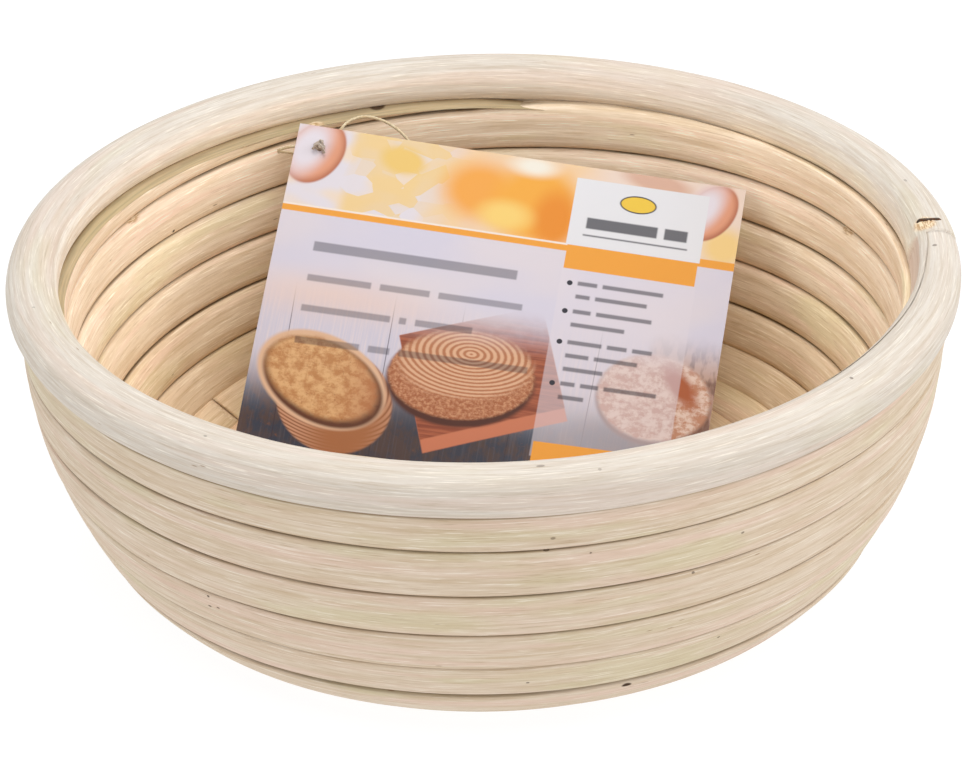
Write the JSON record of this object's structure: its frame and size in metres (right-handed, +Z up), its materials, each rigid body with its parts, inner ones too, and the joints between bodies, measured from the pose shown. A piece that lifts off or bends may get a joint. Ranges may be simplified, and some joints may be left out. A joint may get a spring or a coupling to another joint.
{
  "type": "proofing basket",
  "caption": "Round bread proofing basket wound from a spiral of rattan cane under a thicker rim ring, with a paper swing tag tied inside by thread.",
  "frame": {"origin": "centre of the basket's footprint, on the surface that the base rests on", "axes": "+Z up along the basket's axis; -Y the front, where the card faces; +X right, where the rim's ends meet"},
  "size_m": [0.25, 0.25, 0.0885],
  "materials": {
    "wall_rattan": "matt",
    "rim_rattan": "matt",
    "steel_wire": "dull",
    "printed_card": "satin",
    "thread": "matt"
  },
  "bodies": {
    "basket": {"base_cane": "wall_rattan", "lower_wall_cane": "wall_rattan", "middle_wall_cane": "wall_rattan", "upper_wall_cane": "wall_rattan", "rim_cane": "rim_rattan", "base_pins": "steel_wire", "lower_wall_pins": "steel_wire", "middle_wall_pins": "steel_wire", "upper_wall_pins": "steel_wire", "rim_pins": "steel_wire", "splice_pins": "steel_wire", "rim_joint_staple": "steel_wire"},
    "tag": {"tag_card": "printed_card", "tag_knot": "thread", "tag_cord": "thread"}
  },
  "joints": [
    {"name": "tag_swing", "type": "hinge", "parent": "basket", "child": "tag", "pos_m": [-0.04543, 0.0874, 0.07531], "axis": [-0.9834, 0.1362, 0.1198], "range_deg": [0, 100]}
  ]
}
